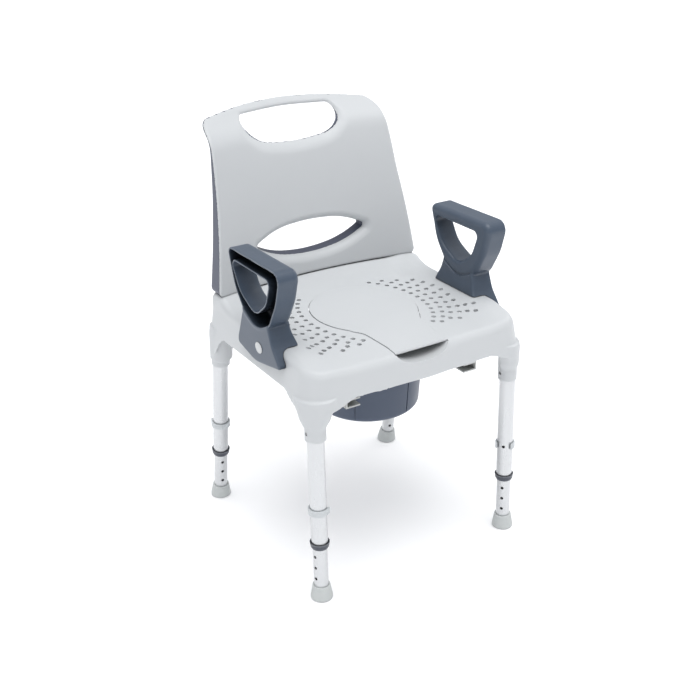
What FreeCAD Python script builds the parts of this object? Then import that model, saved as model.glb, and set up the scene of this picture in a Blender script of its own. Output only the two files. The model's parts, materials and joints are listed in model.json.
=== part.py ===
# Shower and commode chair: moulded seat shell on four telescopic tube legs, lift-off seat cover,
# backrest and armrests, and a bucket that slides out to the rear on two rails.
# Millimetres. +Z up, floor at Z = 0, the sitter faces -Y, +X is the sitter's left.
import FreeCAD, Part
import Sketcher
import math
import os
from FreeCAD import Placement, Rotation, Vector

doc = FreeCAD.newDocument("ShowerChair")
sheet = doc.addObject("Spreadsheet::Sheet", "Values")

driving = [
    ("upper_tube_radius", 16.25, "upper leg tube, outside"),
    ("lower_tube_radius", 14.2, "lower leg tube, outside"),
    ("tube_wall", 1.5, "wall of both leg tubes"),
    ("upper_tube_start", 119, "along the leg from the floor"),
    ("upper_tube_end", 430, "inside the seat socket"),
    ("lower_tube_start", 8, "inside the foot"),
    ("lower_tube_end", 311, "inside the upper tube, clear of the cross screw at the lowest setting"),
    ("pin_radius", 3, "clip pin"),
    ("pin_hole_radius", 3.25, "adjusting holes"),
    ("hole_pitch", 25, "step of the height setting"),
    ("hole_count", 11, "adjusting holes in each lower tube"),
    ("first_hole", 48.5, "lowest adjusting hole"),
    ("clip_height", 13, "spring clip, along the leg"),
    ("clip_start", 192, "lower edge of the spring clip"),
    ("clip_outer_radius", 20.6, "spring clip band"),
    ("clip_gap", 0.3, "band to tube"),
    ("socket_radius", 20, "seat socket, outside"),
    ("socket_start", 349, "lower mouth of the seat socket"),
    ("screw_height", 366, "cross screw that holds the upper tube"),
    ("screw_radius", 2.5, "cross screw"),
    ("foot_height", 30, "rubber foot"),
    ("foot_top_radius", 17.4, "rubber foot, top"),
    ("foot_base_radius", 21.7, "rubber foot, floor"),
    ("front_leg_across", 227, "front foot centre from the middle"),
    ("front_leg_along", -250.5, "front foot centre"),
    ("front_leg_lean", 1.7, "degrees, top towards the rear"),
    ("rear_leg_across", 226, "rear foot centre from the middle"),
    ("rear_leg_along", 192.5, "rear foot centre"),
    ("rear_leg_lean", -7.9, "degrees, top towards the front"),
    ("rear_leg_toe", 0.6, "degrees, top outwards"),
    ("skirt_bottom", 430, "lower edge of the seat skirt"),
    ("seat_top", 487, "seat surface"),
    ("seat_wall", 4, "moulded wall"),
    ("seat_edge_round", 13, "seat top edge"),
    ("ridge_top", 496.8, "side ridge that carries the armrest"),
    ("seat_half_width", 243, "at the top edge"),
    ("seat_front", -256, "front top edge at the corners"),
    ("front_rake", 6, "the front leans out further than the sides by this much at the bottom"),
    ("front_bow", 6, "middle of the front edge ahead of its corners, at the top"),
    ("apron_bow", 15.31, "the same at the lower edge of the skirt"),
    ("seat_rear", 163, "rear face"),
    ("riser_top", 507.7, "seat surface under the backrest"),
    ("hatch_half_width", 107.6, "oval of the seat opening recess"),
    ("hatch_half_length", 117, "oval of the seat opening recess"),
    ("hatch_centre", -53, "oval centre"),
    ("hatch_depth", 6, "recess that takes the seat cover"),
    ("hatch_ledge", 11, "width of the ledge under the cover"),
    ("tongue_half_width", 59, "front tongue of the cover"),
    ("cover_gap", 0.8, "cover to recess, all round"),
    ("back_bottom", 508, "underside of the backrest"),
    ("back_front_wall", 4, "front shell"),
    ("back_rear_wall", 3.5, "rear shell"),
    ("back_curve", 28, "middle of the backrest behind its edges"),
    ("back_lift_gap", 0.4, "front shell to rear shell"),
    ("arm_inner", 212, "inner face of the armrest loop"),
    ("arm_outer", 258, "outer face of the armrest loop"),
    ("arm_wall", 3, "armrest walls"),
    ("rail_web", 150, "inside face of the rail web"),
    ("rail_lip", 122, "inner edge of the rail flanges"),
    ("rail_bottom", 385, "underside of the rail"),
    ("rail_wall", 3, "rail section thickness"),
    ("rail_front", -229, "front end of the rails"),
    ("rail_length", 310, "rails"),
    ("bucket_centre", -64, "bucket axis"),
    ("bucket_bottom", 290, "underside of the bucket"),
    ("bucket_rim", 424, "bucket mouth"),
    ("bucket_mouth_radius", 116, "bucket mouth, outside"),
    ("bucket_base_radius", 107, "bucket base, outside"),
    ("bucket_wall", 2.5, "bucket wall"),
    ("flange_radius", 147, "bucket runner flange"),
    ("bail_radius", 126, "carrying handle, centre line"),
    ("bail_wire", 2.5, "carrying handle rod radius"),
]
for row, (alias, number, note) in enumerate(driving, start=1):
    sheet.set("A%d" % row, alias)
    sheet.set("B%d" % row, str(number))
    sheet.set("C%d" % row, note)
    sheet.setAlias("B%d" % row, alias)
doc.recompute()


def val(alias):
    return float(sheet.get(alias))


# Helpers
def bind(obj, **formulas):
    for name, formula in formulas.items():
        obj.setExpression(name.replace("__", "."), str(formula))
    return obj


def new_body(label):
    body = doc.addObject("PartDesign::Body", label)
    body.Label = label
    return body


def origin_plane(body, role):
    return next(f for f in body.Origin.OriginFeatures if f.Role == role)


def sketch_on(body, name, role, geometry, offset="0", turn=None):
    sketch = body.newObject("Sketcher::SketchObject", name)
    sketch.AttachmentSupport = (origin_plane(body, role), "")
    sketch.MapMode = "FlatFace"
    if turn:
        sketch.AttachmentOffset = Placement(Vector(), Rotation(Vector(0, 1, 0), turn))
    bind(sketch, AttachmentOffset__Base__z=offset)
    sketch.addGeometry(geometry, False)
    sketch.Visibility = False
    return sketch


def circle_sketch(body, name, role, radii, centre_height="0", offset="0", turn=None):
    # concentric circles, each radius bound to the sheet
    circles = [Part.Circle(Vector(), Vector(0, 0, 1), 1 + i) for i in range(len(radii))]
    sketch = sketch_on(body, name, role, circles, offset, turn)
    for index, radius in enumerate(radii):
        sketch.addConstraint(Sketcher.Constraint("DistanceX", -1, 1, index, 3, 0.0))
        up = sketch.addConstraint(Sketcher.Constraint("DistanceY", -1, 1, index, 3, 1.0))
        size = sketch.addConstraint(Sketcher.Constraint("Radius", index, 1.0 + index))
        sketch.setExpression("Constraints[%d]" % up, centre_height)
        sketch.setExpression("Constraints[%d]" % size, radius)
    return sketch


def pad(body, name, sketch, length, symmetric=False, kind="PartDesign::Pad"):
    feature = body.newObject(kind, name)
    feature.Profile = sketch
    if symmetric:
        feature.SideType = "Symmetric"
    bind(feature, Length=length)
    body.Tip = feature
    doc.recompute()
    return feature


def through(body, name, sketch):
    feature = body.newObject("PartDesign::Pocket", name)
    feature.Profile = sketch
    feature.SideType = "Symmetric"
    feature.Type = "ThroughAll"
    body.Tip = feature
    doc.recompute()
    return feature


def revolve(body, name, sketch):
    feature = body.newObject("PartDesign::Revolution", name)
    feature.Profile = sketch
    feature.ReferenceAxis = (origin_plane(body, "Z_Axis"), [""])
    feature.Angle = 360
    body.Tip = feature
    doc.recompute()
    return feature


def polygon(points):
    ends = points[1:] + points[:1]
    return [Part.LineSegment(Vector(*a, 0), Vector(*b, 0)) for a, b in zip(points, ends)]


def rounded(corners):
    # closed outline of straight runs and tangent arcs from (x, y, radius) corners
    pieces = []
    count = len(corners)
    for i, (x, y, radius) in enumerate(corners):
        here = Vector(x, y, 0)
        back = (Vector(*corners[i - 1][:2], 0) - here).normalize()
        ahead = (Vector(*corners[(i + 1) % count][:2], 0) - here).normalize()
        half = back.getAngle(ahead) / 2
        reach = radius / math.tan(half)
        middle = (back + ahead).normalize()
        bulge = radius / math.sin(half) - radius
        pieces.append((here + back * reach, here + middle * bulge, here + ahead * reach))
    lines = []
    for i, (start, top, end) in enumerate(pieces):
        lines.append(Part.Arc(start, top, end))
        following = pieces[(i + 1) % count][0]
        if (following - end).Length > 1e-4:
            lines.append(Part.LineSegment(end, following))
    return lines


def inset(corners, distance):
    # the same convex outline moved inwards, or outwards where the distance is negative
    count = len(corners)
    area = sum(corners[i - 1][0] * corners[i][1] - corners[i][0] * corners[i - 1][1] for i in range(count))
    side = math.copysign(distance, distance * area)
    moved = []
    for i, (x, y, radius) in enumerate(corners):
        into = Vector(x - corners[i - 1][0], y - corners[i - 1][1], 0).normalize()
        out = Vector(corners[(i + 1) % count][0] - x, corners[(i + 1) % count][1] - y, 0).normalize()
        both = Vector(-into.y - out.y, into.x + out.x, 0)
        shift = both * (side / (1 + into.dot(out)))
        moved.append((x + shift.x, y + shift.y, max(radius - distance, 0.5)))
    return moved


def mirror_x(corners):
    # right half given from front to rear; the left half is its mirror image
    return corners + [(-x, y, r) for x, y, r in reversed(corners) if abs(x) > 1e-6]


def primitive(kind, name, **formulas):
    obj = doc.addObject("Part::" + kind, name)
    return bind(obj, **formulas)


def place(obj, base, direction=None):
    rotation = Rotation(Vector(0, 0, 1), direction) if direction else Rotation()
    obj.Placement = Placement(base, rotation)
    return obj


def fuse(name, shapes):
    obj = doc.addObject("Part::MultiFuse", name)
    obj.Shapes = shapes
    return obj


def cut(name, base, tool):
    obj = doc.addObject("Part::Cut", name)
    obj.Base = base
    obj.Tool = tool
    return obj


def common(name, first, second):
    obj = doc.addObject("Part::MultiCommon", name)
    obj.Shapes = [first, second]
    return obj


def named(obj, label):
    obj.Label = label
    parts.append(obj)
    return obj


parts = []

# Legs.
# Each leg is drawn upright about its own axis, with +Y towards the closed side of its spring clip.
legs = {
    "front_right": (-1, "front", -165),
    "front_left": (1, "front", 39),
    "rear_right": (-1, "rear", -101),
    "rear_left": (1, "rear", -107),
}


def leg_line(side, end):
    lean = math.radians(val(end + "_leg_lean"))
    toe = math.radians(val("rear_leg_toe")) if end == "rear" else 0
    foot = Vector(side * val(end + "_leg_across"), val(end + "_leg_along"), 0)
    return foot, Vector(side * math.tan(toe), math.tan(lean), 1).normalize()


def leg_placement(side, end, clip_angle):
    foot, direction = leg_line(side, end)
    turn = Rotation(Vector(0, 0, 1), direction) * Rotation(Vector(0, 0, 1), clip_angle - 90)
    return Placement(foot, turn)


def upper_tube(name, clip_angle):
    body = new_body("upper_tube_" + name)
    ring = circle_sketch(body, "ring_upper_" + name, "XY_Plane",
                         ["Values.upper_tube_radius", "Values.upper_tube_radius - Values.tube_wall"],
                         offset="Values.upper_tube_start")
    pad(body, "tube_upper_" + name, ring, "Values.upper_tube_end - Values.upper_tube_start")
    pin = circle_sketch(body, "pin_upper_" + name, "XZ_Plane", ["Values.pin_hole_radius"],
                        "Values.first_hole + 6 * Values.hole_pitch")
    through(body, "pin_hole_upper_" + name, pin)
    screw = circle_sketch(body, "screw_upper_" + name, "XZ_Plane", ["Values.screw_radius + 0.1"],
                          "Values.screw_height", turn=-clip_angle)
    through(body, "screw_hole_upper_" + name, screw)
    return body


def lower_tube(name):
    body = new_body("lower_tube_" + name)
    ring = circle_sketch(body, "ring_lower_" + name, "XY_Plane",
                         ["Values.lower_tube_radius", "Values.lower_tube_radius - Values.tube_wall"],
                         offset="Values.lower_tube_start")
    pad(body, "tube_lower_" + name, ring, "Values.lower_tube_end - Values.lower_tube_start")
    hole = circle_sketch(body, "hole_lower_" + name, "XZ_Plane", ["Values.pin_hole_radius"],
                         "Values.first_hole")
    first = through(body, "first_hole_" + name, hole)
    row = body.newObject("PartDesign::LinearPattern", "hole_row_" + name)
    row.Originals = [first]
    row.Direction = (origin_plane(body, "Z_Axis"), [""])
    bind(row, Length="Values.hole_pitch * (Values.hole_count - 1)", Occurrences="Values.hole_count")
    body.Tip = row
    return body


def collar(name):
    # guide ring on the end of the upper tube: narrow below, open and flared above
    inner = val("lower_tube_radius") + 0.3
    seat = val("upper_tube_radius") + 0.05
    low = val("upper_tube_start") - 3.2
    body = new_body("collar_" + name)
    profile = sketch_on(body, "profile_collar_" + name, "XZ_Plane", polygon([
        (inner, low), (inner + 1.6, low), (inner + 3.4, low + 3.6), (inner + 5, low + 13),
        (inner + 3.6, low + 13), (seat, low + 9), (seat, low + 3.2), (inner, low + 3.2)]))
    revolve(body, "ring_collar_" + name, profile)
    return body


def clip(name):
    # spring band open on the far side, with the pin that locks the height
    near = val("upper_tube_radius") + val("clip_gap")
    far = val("clip_outer_radius")
    body = new_body("clip_" + name)
    band = [Part.Arc(Vector(far, 0, 0), Vector(0, far, 0), Vector(-far, 0, 0)),
            Part.Arc(Vector(near, 0, 0), Vector(0, near, 0), Vector(-near, 0, 0))]
    for side in (1, -1):
        tip = [(far, 0), (far, -9), (far + 1.5, -14), (far, -16.5), (near, -12), (near, 0)]
        band += [Part.LineSegment(Vector(side * a[0], a[1], 0), Vector(side * b[0], b[1], 0))
                 for a, b in zip(tip[:-1], tip[1:])]
    sketch = sketch_on(body, "band_sketch_" + name, "XY_Plane", band, "Values.clip_start")
    pad(body, "band_" + name, sketch, "Values.clip_height")
    pin = circle_sketch(body, "pin_sketch_" + name, "XZ_Plane", ["Values.pin_radius"],
                        "Values.first_hole + 6 * Values.hole_pitch", offset="-(Values.clip_outer_radius - 2)")
    pad(body, "pin_" + name, pin, "Values.clip_outer_radius - 2 + Values.upper_tube_radius + 0.8")
    return body


def foot(name, side, end, clip_angle):
    base = val("foot_base_radius")
    body = new_body("foot_blank_" + name)
    tube = val("lower_tube_radius") + 0.1
    sunk = -6
    profile = sketch_on(body, "profile_foot_" + name, "XZ_Plane", polygon([
        (0, sunk), (base, sunk), (base, 6), (val("foot_top_radius"), val("foot_height")),
        (tube, val("foot_height")), (tube, val("lower_tube_start")), (0, val("lower_tube_start"))]))
    revolve(body, "turned_foot_" + name, profile)
    body.Placement = leg_placement(side, end, clip_angle)
    floor = primitive("Box", "floor_" + name, Length=80, Width=80, Height=20)
    corner = leg_line(side, end)[0]
    floor.Placement = Placement(Vector(corner.x - 40, corner.y - 40, -20), Rotation())
    flat = cut("flat_foot_" + name, body, floor)
    doc.recompute()
    rims = [i + 1 for i, edge in enumerate(flat.Shape.Edges) if edge.BoundBox.ZMax < 0.01]
    soft = doc.addObject("Part::Fillet", "soft_foot_" + name)
    soft.Base = flat
    soft.Edges = [(rim, 2.5, 2.5) for rim in rims]
    return soft


for name, (side, end, clip_angle) in legs.items():
    for piece in (upper_tube(name, clip_angle), lower_tube(name), collar(name), clip(name)):
        piece.Placement = leg_placement(side, end, clip_angle)
        named(piece, piece.Label)
    named(foot(name, side, end, clip_angle), "foot_" + name)


# Seat shell: an open-bottomed pan with a skirt, trumpet-shaped leg sockets, side ridges under the
# armrests and a riser under the backrest.
def along_leg(obj, leg, distance):
    base, direction = leg_line(*leg[:2])
    return place(obj, base + direction * distance, direction)


def pan_outline(grow, low=0):
    # grow moves the outline outwards; low is 1 at the lower edge of the skirt and 0 at the top
    half = val("seat_half_width") + grow
    front = val("seat_front") - grow - low * val("front_rake")
    bow = val("front_bow") + low * (val("apron_bow") - val("front_bow"))
    return rounded(mirror_x([(0, front - bow, 1200), (half, front, 46), (half, val("seat_rear") + grow, 34)]))


def loft(body, name, sketches, kind="PartDesign::AdditiveLoft"):
    feature = body.newObject(kind, name)
    feature.Profile = sketches[0]
    feature.Sections = sketches[1:]
    body.Tip = feature
    doc.recompute()
    return feature


def edge_rings(body, name, wall):
    # outline rings from the skirt up over the rounded top edge, moved inwards by the wall
    edge = val("seat_edge_round")
    rings = [("Values.skirt_bottom", 6, 1), ("Values.seat_top - Values.seat_edge_round", 0, 0)]
    rings += [("Values.seat_top - Values.seat_edge_round * %.4f" % (1 - math.sin(turn)),
               -edge * (1 - math.cos(turn)), 0) for turn in (math.radians(t) for t in (30, 60, 85))]
    drop = " - %g" % wall if wall else ""
    return [sketch_on(body, "%s_%d" % (name, i), "XY_Plane", pan_outline(grow - wall, low), height + drop)
            for i, (height, grow, low) in enumerate(rings)]


def seat_pan():
    body = new_body("seat_pan")
    outside = loft(body, "pan_outside", edge_rings(body, "outer_ring", 0))
    outside.Ruled = True
    inside = loft(body, "pan_inside", edge_rings(body, "inner_ring", val("seat_wall")),
                  "PartDesign::SubtractiveLoft")
    inside.Ruled = True
    doc.recompute()
    return body


def riser():
    # hollow bar across the rear; its front face follows the curve of the backrest
    width, rear, wall = val("seat_half_width"), val("seat_rear"), val("seat_wall")
    top, curve = val("riser_top"), val("back_curve")

    def bar(grow):
        face, side, back = 92 - grow, width - 2 + grow, rear + grow
        return [Part.Arc(Vector(side, face, 0), Vector(0, face + curve, 0), Vector(-side, face, 0)),
                Part.LineSegment(Vector(-side, face, 0), Vector(-side, back, 0)),
                Part.LineSegment(Vector(-side, back, 0), Vector(side, back, 0)),
                Part.LineSegment(Vector(side, back, 0), Vector(side, face, 0))]

    body = new_body("riser")
    foot_sketch = sketch_on(body, "riser_sketch", "XY_Plane", bar(0), "Values.seat_top - 14")
    pad(body, "riser_bar", foot_sketch, "Values.riser_top - Values.seat_top + 14")
    hollow = sketch_on(body, "riser_hollow_sketch", "XY_Plane", bar(-wall), "Values.seat_top - 15")
    pocket = pad(body, "riser_hollow", hollow, "Values.riser_top - Values.seat_top + 15 - Values.seat_wall",
                 kind="PartDesign::Pocket")
    pocket.Reversed = True
    doc.recompute()
    return body


def ridge(side):
    block = primitive("Box", "ridge_block", Width=300, Length=38,
                      Height="Values.ridge_top - Values.seat_top + Values.seat_wall")
    start = val("seat_half_width") - 1.5
    block.Placement = Placement(Vector(start - 38 if side > 0 else -start, -150, val("seat_top") - val("seat_wall")),
                                Rotation())
    doc.recompute()
    long_edges = [i + 1 for i, e in enumerate(block.Shape.Edges) if e.BoundBox.ZMin > val("ridge_top") - 0.01]
    soft = doc.addObject("Part::Fillet", "ridge_soft")
    soft.Base = block
    soft.Edges = [(i, 8, 8) for i in long_edges]
    return soft


def knuckle(name, leg):
    # socket and trumpet as one turned shape about the leg axis
    radius, mouth = val("socket_radius"), val("socket_start")
    flare = {"front": [(20, 374), (27, 386), (33, 403), (43, 424), (44, 472)],
             "rear": [(20, 364), (26, 370), (27, 400), (30, 440), (30, 472)]}[leg[1]]
    body = new_body("knuckle_" + name)
    profile = [(0, mouth), (radius, mouth), (radius, flare[0][1] - 4)] + flare + [(0, 472)]
    sketch = sketch_on(body, "knuckle_profile_" + name, "XZ_Plane", polygon(profile))
    revolve(body, "knuckle_turned_" + name, sketch)
    body.Placement = leg_placement(leg[0], leg[1], 90)
    return body


def skirt_envelope():
    # the plan outline of the skirt's lower edge, carried down past the sockets
    body = new_body("skirt_envelope")
    sketch = sketch_on(body, "envelope_sketch", "XY_Plane", pan_outline(7.5, 1), "Values.socket_start - 30")
    pad(body, "envelope_pad", sketch, "Values.seat_top - Values.socket_start + 15")
    return body


def keyhole(name, grow, low, high, front):
    # oval with a tongue running out to the front edge, as a solid between two heights
    oval = doc.addObject("Part::Ellipse", name + "_oval")
    bind(oval, MajorRadius="Values.hatch_half_length + %s" % grow,
         MinorRadius="Values.hatch_half_width + %s" % grow)
    oval.Placement = Placement(Vector(0, val("hatch_centre"), low), Rotation(Vector(0, 0, 1), 90))
    plate = doc.addObject("Part::Extrusion", name + "_plate")
    plate.Base = oval
    plate.Dir = Vector(0, 0, 1)
    plate.LengthFwd = high - low
    plate.Solid = True
    half = val("tongue_half_width") + grow
    body = new_body(name + "_tongue")
    neck = val("hatch_centre") - 163
    flare = (neck - front) / 18
    outline = mirror_x([(half + flare, front, 0.5), (half, neck - 10, 60), (half + 8, neck + 60, 40),
                        (half + 27, neck + 89, 20), (half, neck + 126, 2)])
    sketch = sketch_on(body, name + "_tongue_sketch", "XY_Plane", rounded(outline), low)
    pad(body, name + "_tongue_pad", sketch, high - low)
    return fuse(name, [plate, body])


def slab(name, x, y, z, turn=None):
    # box between two corners given as (low, high) on each axis
    box = primitive("Box", name, Length=x[1] - x[0], Width=y[1] - y[0], Height=z[1] - z[0])
    box.Placement = Placement(Vector(x[0], y[0], z[0]), turn or Rotation())
    return box


post_across, post_along = (128, 168), (134, 144)
tenon_across, tenon_along = (212, 228), (-118, -38)
post_depth, tenon_depth = 58, 34
boss_along = [val("rail_front") + 40, val("rail_front") + 155, val("rail_front") + 270]
boss_across = val("rail_web") + 15
boss_low = 470


def seat_shell():
    solids = [seat_pan(), riser(), ridge(1), ridge(-1)]
    envelope = skirt_envelope()
    tools = [keyhole("hatch", 0, val("seat_top") - val("hatch_depth"), 520, val("seat_front") - 20),
             keyhole("well", -val("hatch_ledge"), 400, 520, val("seat_front") + 24)]
    for name, leg in legs.items():
        solids.append(common("knuckle_trimmed_" + name, knuckle(name, leg), envelope))
        bore = primitive("Cylinder", "bore_" + name, Radius="Values.upper_tube_radius + 0.15",
                         Height="Values.upper_tube_end - Values.socket_start + 2")
        tools.append(along_leg(bore, leg, val("socket_start") - 1))
        screw = primitive("Cylinder", "cross_" + name, Radius="Values.screw_radius + 0.1", Height=90)
        tools.append(place(screw, screw_point(leg) - Vector(45, 0, 0), Vector(1, 0, 0)))
    for side in (1, -1):
        for y in boss_along:
            boss = primitive("Cylinder", "boss", Radius=6, Height=val("seat_top") - boss_low - 2)
            solids.append(place(boss, Vector(side * boss_across, y, boss_low)))
            pilot = primitive("Cylinder", "pilot", Radius=1.8, Height=11)
            tools.append(place(pilot, Vector(side * boss_across, y, boss_low - 1)))
        low, high = sorted((side * (post_across[0] - 0.6), side * (post_across[1] + 0.6)))
        tools.append(slab("post_slot", (low, high), (post_along[0] - 0.6, post_along[1] + 0.6), (480, 520)))
        low, high = sorted((side * (tenon_across[0] - 0.6), side * (tenon_across[1] + 0.6)))
        tools.append(slab("tenon_slot", (low, high), (tenon_along[0] - 0.6, tenon_along[1] + 0.6), (470, 510)))
    recess = primitive("Ellipsoid", "finger_recess", Radius1=11, Radius2=58, Radius3=24)
    tools.append(place(recess, Vector(0, val("seat_front") - 6, val("seat_top") - 5)))
    return cut("seat_shell_cut", fuse("seat_solids", solids), fuse("seat_tools", tools))


def screw_point(leg):
    base, direction = leg_line(*leg[:2])
    return base + direction * val("screw_height")


named(seat_shell(), "seat_shell")


def leg_screws():
    pins = []
    for name, leg in legs.items():
        pin = primitive("Cylinder", "leg_screw_" + name, Radius="Values.screw_radius",
                        Height="2 * Values.socket_radius")
        pins.append(place(pin, screw_point(leg) - Vector(val("socket_radius"), 0, 0), Vector(1, 0, 0)))
    group = doc.addObject("Part::Compound", "leg_screw_group")
    group.Links = pins
    return group


named(leg_screws(), "leg_screws")


def seat_cover():
    low = val("seat_top") - val("hatch_depth") + 0.3
    return keyhole("cover", -val("cover_gap"), low, val("seat_top") + 0.2, val("seat_front") + 2)


named(seat_cover(), "seat_cover")


# Backrest: a curved front shell with flanged openings, and a dished rear shell behind it.
# Stations up the backrest: height, half width, face position at the edge, depth behind the face.
stations = [(508, 240, 103, 46), (560, 234, 109.5, 40), (640, 223, 125, 31), (720, 212, 147, 20),
            (780, 203, 165, 13.5), (810, 200, 184, 10.5), (832, 198, 217, 10.5), (856, 186, 244, 10.5)]
top_outline = [(0, 861, 1300), (202, 840, 26), (215.5, 700, 800), (241, val("back_bottom"), 12)]
handle_outline = [(0, 838.5, 900), (117, 835, 12), (100, 795, 45), (0, 776, 160)]
lumbar_outline = [(0, 620, 500), (84, 613.5, 90), (139, 584, 12), (76, 550, 110), (0, 542, 450)]


def strip(half_width, face, start, end):
    # plan section between two depths behind the face, a little wider than the backrest
    spread = 1.12
    curve = val("back_curve")
    wide = half_width * spread
    drop = curve * (spread ** 2 - 1)
    near, far = face + start, face + end
    return [Part.Arc(Vector(wide, near - drop, 0), Vector(0, near + curve, 0), Vector(-wide, near - drop, 0)),
            Part.LineSegment(Vector(-wide, near - drop, 0), Vector(-wide, far - drop, 0)),
            Part.Arc(Vector(-wide, far - drop, 0), Vector(0, far + curve, 0), Vector(wide, far - drop, 0)),
            Part.LineSegment(Vector(wide, far - drop, 0), Vector(wide, near - drop, 0))]


def curved_sheet(name, start, end):
    # start and end are functions of the depth behind the face at each station
    body = new_body(name)
    sections = [sketch_on(body, "%s_%d" % (name, i), "XY_Plane", strip(w, y, start(d), end(d)), str(z))
                for i, (z, w, y, d) in enumerate(stations)]
    loft(body, name + "_loft", sections)
    return body


def seen_from_front(name, corners, depth=(60, 320)):
    body = new_body(name)
    sketch = sketch_on(body, name + "_sketch", "XZ_Plane", rounded(corners), str(-depth[1]))
    pad(body, name + "_pad", sketch, str(depth[1] - depth[0]))
    return body


def front_shell():
    wall = val("back_front_wall")
    panel = common("front_panel", curved_sheet("front_sheet", lambda d: 0, lambda d: wall),
                   seen_from_front("front_edge", mirror_x(top_outline)))
    depth = curved_sheet("flange_depth", lambda d: 1, lambda d: d)
    shapes = [panel]
    tools = []
    for name, corners in (("handle", handle_outline), ("lumbar", lumbar_outline)):
        outline = mirror_x(corners)
        shapes.append(common(name + "_flange", depth,
                             seen_from_front(name + "_outer", inset(outline, -3))))
        tools.append(seen_from_front(name + "_through", outline))
    return cut("front_shell_cut", fuse("front_solids", shapes), fuse("front_tools", tools))


def rear_shell():
    front_wall, wall, gap = val("back_front_wall"), val("back_rear_wall"), val("back_lift_gap")
    outline = mirror_x(top_outline)
    blank = common("rear_blank", curved_sheet("rear_sheet", lambda d: front_wall + gap, lambda d: d),
                   seen_from_front("rear_edge", inset(outline, 1.5)))
    dish = common("rear_dish", curved_sheet("dish_sheet", lambda d: 0, lambda d: d - wall),
                  seen_from_front("dish_edge", inset(outline, 1.5 + wall)))
    tools = [dish]
    for name, corners in (("handle", handle_outline), ("lumbar", lumbar_outline)):
        tools.append(seen_from_front(name + "_clear", inset(mirror_x(corners), -3.4)))
    posts = []
    for side in (1, -1):
        low, high = sorted((side * post_across[0], side * post_across[1]))
        bottom = val("back_bottom")
        posts.append(slab("post", (low, high), post_along, (bottom - post_depth, bottom + 16)))
    shell = cut("rear_dished", blank, fuse("rear_tools", tools))
    return fuse("rear_shell_solid", [shell] + posts)


named(front_shell(), "backrest_front_shell")
named(rear_shell(), "backrest_rear_shell")

# Armrests: a hollow grip loop, open on the outside, on a saddle that straddles the seat edge.
loop_outline = [(22, 654, 10), (-2, 578, 90), (-45, 523.5, 35), (-122, 523.5, 35), (-163, 592, 120),
                (-181, 659, 15)]
grip_outline = [(9, 631.5, 11), (-25, 572, 60), (-62, 556.5, 28), (-100, 556.5, 28), (-126, 589, 70),
                (-141, 633, 10)]
saddle_outline = [(-36, 556, 6), (-8, 480, 6), (-12, 462, 6), (-75, 456, 60), (-148, 470, 6), (-136, 556, 6)]


def side_prism(body, name, corners, x_low, x_high, kind="PartDesign::Pad"):
    # YZ outline between two X positions
    sketch = sketch_on(body, name + "_sketch", "YZ_Plane", rounded(corners), str(x_low))
    feature = pad(body, name, sketch, str(x_high - x_low), kind=kind)
    if kind.endswith("Pocket"):
        feature.Reversed = True
        doc.recompute()
    return feature


def armrest(side, name):
    inner, outer, wall = val("arm_inner"), val("arm_outer"), val("arm_wall")
    saddle_inner, saddle_outer = 205, outer + 2
    span = (lambda a, b: (a, b)) if side > 0 else (lambda a, b: (-b, -a))
    body = new_body("arm_" + name)
    side_prism(body, "loop_" + name, loop_outline, *span(inner, outer))
    side_prism(body, "grip_" + name, grip_outline, *span(inner - 1, outer + 1), kind="PartDesign::Pocket")
    channel = new_body("channel_" + name)
    side_prism(channel, "channel_outer_" + name, inset(loop_outline, wall), *span(inner + wall + 1, outer + 1))
    side_prism(channel, "channel_inner_" + name, inset(grip_outline, -wall), *span(inner, outer + 2),
               kind="PartDesign::Pocket")
    saddle = new_body("saddle_" + name)
    side_prism(saddle, "saddle_block_" + name, saddle_outline, *span(saddle_inner, saddle_outer))
    clear = new_body("clear_" + name)
    side_prism(clear, "clear_loop_" + name, inset(loop_outline, 0.5), *span(inner - 20, outer + 8))
    keep = slab("seat_clear_" + name, span(180, val("seat_half_width") + 4.6), (-190, 40),
                (400, val("ridge_top") + 0.4))
    foot_part = cut("saddle_shaped_" + name, saddle, fuse("saddle_tools_" + name, [clear, keep]))
    loop_part = cut("loop_shaped_" + name, body, channel)
    tenon = slab("tenon_" + name, span(*tenon_across), tenon_along,
                 (val("ridge_top") - tenon_depth, val("ridge_top") + 6))
    return fuse("armrest_solid_" + name, [loop_part, foot_part, tenon])


def badge(side, name):
    # plain oval inlay proud of the saddle's outer face
    disc = primitive("Ellipsoid", "badge_blank_" + name, Radius1=1.2, Radius2=11, Radius3=13)
    centre = Vector(side * (val("arm_outer") + 2), -93, 486)
    disc.Placement = Placement(centre, Rotation(Vector(0, 1, 0), 90))
    half = slab("badge_side_" + name, (0, 10) if side > 0 else (-10, 0), (-20, 20), (-20, 20))
    half.Placement = Placement(half.Placement.Base + centre, Rotation())
    return common("badge_half_" + name, disc, half)


for side, name in ((1, "left"), (-1, "right")):
    named(armrest(side, name), "armrest_" + name)
    named(badge(side, name), "armrest_badge_" + name)


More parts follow.
